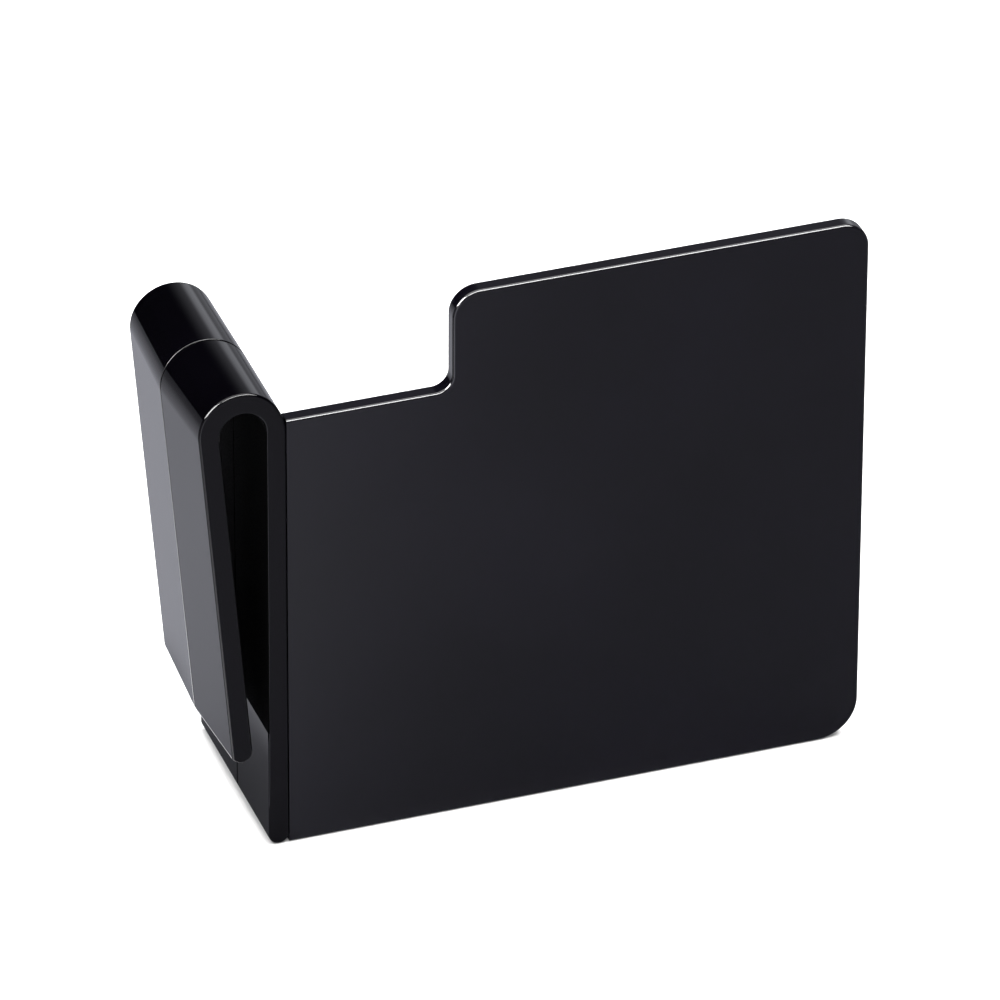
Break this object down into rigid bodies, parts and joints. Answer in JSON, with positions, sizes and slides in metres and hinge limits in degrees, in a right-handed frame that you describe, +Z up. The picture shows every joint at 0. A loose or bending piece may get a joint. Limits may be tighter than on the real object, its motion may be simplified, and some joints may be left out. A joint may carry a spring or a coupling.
{
  "type": "clip-on divider panel",
  "caption": "Glossy black notched divider plate on a two-part spring clip that slides down over the edge of a board or partition.",
  "frame": {"origin": "centre of the footprint, at the level of the foot of the panel and the clip", "axes": "+X along the panel away from the clip, +Y from the panel's front face towards the back of the clip, +Z up"},
  "size_m": [0.0986, 0.0316, 0.085],
  "materials": {
    "panel_gloss_black": "polished gloss black",
    "clip_front_gloss_black": "polished gloss black",
    "clip_rear_gloss_black": "polished gloss black",
    "dowel_steel": "ground steel"
  },
  "bodies": {
    "clip_and_panel": {"divider_panel": "panel_gloss_black", "clip_front_frame": "clip_front_gloss_black", "clip_rear_frame": "clip_rear_gloss_black", "frame_dowel_1": "dowel_steel", "frame_dowel_2": "dowel_steel", "frame_dowel_3": "dowel_steel"},
    "spring_leg": {"clip_front_spring_leg": "clip_front_gloss_black", "clip_rear_spring_leg": "clip_rear_gloss_black", "spring_leg_dowel_1": "dowel_steel", "spring_leg_dowel_2": "dowel_steel"}
  },
  "joints": [
    {"name": "spring_leg_flex", "type": "hinge", "parent": "clip_and_panel", "child": "spring_leg", "pos_m": [-0.04938, -0.00125, 0.0691], "axis": [0, 1, 0], "range_deg": [-2, 6], "stiffness_Nm_per_rad": 5}
  ]
}
